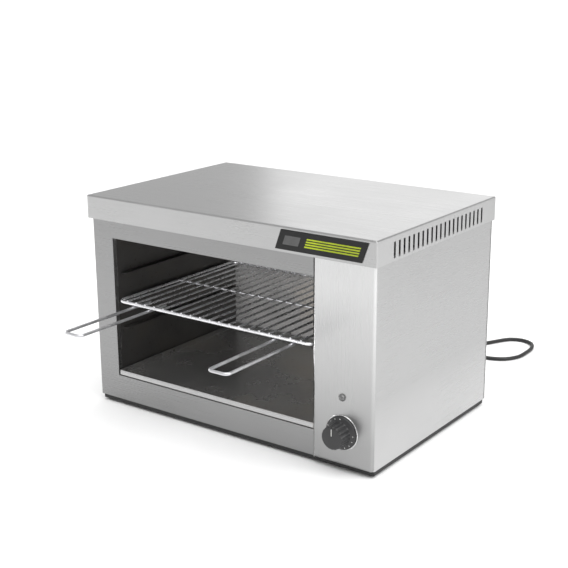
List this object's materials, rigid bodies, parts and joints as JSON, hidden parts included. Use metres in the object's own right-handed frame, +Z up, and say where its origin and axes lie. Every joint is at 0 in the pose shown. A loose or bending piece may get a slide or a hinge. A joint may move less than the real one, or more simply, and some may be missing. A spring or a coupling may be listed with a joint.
{
  "type": "countertop grill oven",
  "caption": "Open-front countertop grill oven in sheet steel, with a pull-out wire rack, a crumb tray, a slotted hood, a control knob and a mains cord.",
  "frame": {"origin": "on the surface the feet stand on, midway across the hood and midway between the handles' tips and the hood's back", "axes": "+X along the front from left to right, +Y from the front to the back, +Z up"},
  "size_m": [0.61, 0.9305, 0.394],
  "materials": {
    "casing_steel": "satin stainless sheet",
    "liner_steel": "dull sheet, heat-tinted",
    "chrome_wire": "bright plated wire",
    "foot_rubber": "moulded black rubber",
    "knob_plastic": "moulded black plastic",
    "badge_face": "black plate with a plain lime bar and no lettering",
    "lamp_lens": "clear amber lens",
    "element_sheath": "dark oxidised sheath",
    "ceramic_white": "glazed ceramic",
    "brass_terminal": "bright brass",
    "block_plastic": "moulded off-white plastic",
    "cord_rubber": "black rubber sheath",
    "wire_insulation": "red heat-proof insulation",
    "base_black": "black-painted base pan"
  },
  "bodies": {
    "casing": {"badge_plate": "badge_face", "base_pan": "base_black", "chamber_back_wall": "liner_steel", "chamber_floor": "liner_steel", "chamber_left_wall": "liner_steel", "chamber_right_wall": "liner_steel", "control_panel": "casing_steel", "cord_coil": "cord_rubber", "cord_gland": "cord_rubber", "cord_tail": "cord_rubber", "element_strip_left": "liner_steel", "element_strip_right": "liner_steel", "element_terminal_1": "ceramic_white", "element_terminal_2": "ceramic_white", "element_terminal_3": "ceramic_white", "element_terminal_4": "ceramic_white", "foot_back_left": "foot_rubber", "foot_back_right": "foot_rubber", "foot_front_left": "foot_rubber", "foot_front_right": "foot_rubber", "front_element": "element_sheath", "front_frame": "casing_steel", "heat_reflector": "liner_steel", "heat_regulator": "ceramic_white", "hood": "casing_steel", "knob_bezel": "casing_steel", "lamp_body": "block_plastic", "lamp_lens": "lamp_lens", "lamp_wire": "wire_insulation", "left_ledge_bottom": "liner_steel", "left_ledge_middle": "liner_steel", "left_ledge_top": "liner_steel", "left_side_panel": "casing_steel", "link_wire": "wire_insulation", "mains_cord": "cord_rubber", "neutral_wire": "wire_insulation", "plug_body": "cord_rubber", "plug_pin_earth": "brass_terminal", "plug_pin_live": "brass_terminal", "plug_pin_neutral": "brass_terminal", "rear_element": "element_sheath", "rear_panel": "casing_steel", "rear_screw_1": "casing_steel", "rear_screw_2": "casing_steel", "rear_screw_3": "casing_steel", "rear_screw_4": "casing_steel", "regulated_wire": "wire_insulation", "right_ledge_bottom": "liner_steel", "right_ledge_middle": "liner_steel", "right_ledge_top": "liner_steel", "right_side_panel": "casing_steel", "supply_wire": "wire_insulation", "terminal_block": "block_plastic"},
    "rack": {"rack_grid": "chrome_wire", "rack_handle_left": "chrome_wire", "rack_handle_right": "chrome_wire"},
    "tray": {"crumb_tray": "liner_steel"},
    "knob": {"knob": "knob_plastic", "knob_shaft": "brass_terminal"}
  },
  "joints": [
    {"name": "rack_slide", "type": "slide", "parent": "casing", "child": "rack", "axis": [0, -1, 0], "range_m": [0, 0.3]},
    {"name": "tray_slide", "type": "slide", "parent": "casing", "child": "tray", "axis": [0, -1, 0], "range_m": [0, 0.3]},
    {"name": "knob_turn", "type": "hinge", "parent": "casing", "child": "knob", "pos_m": [0.2425, -0.114, 0.069], "axis": [0, 1, 0], "range_deg": [0, 270]}
  ]
}
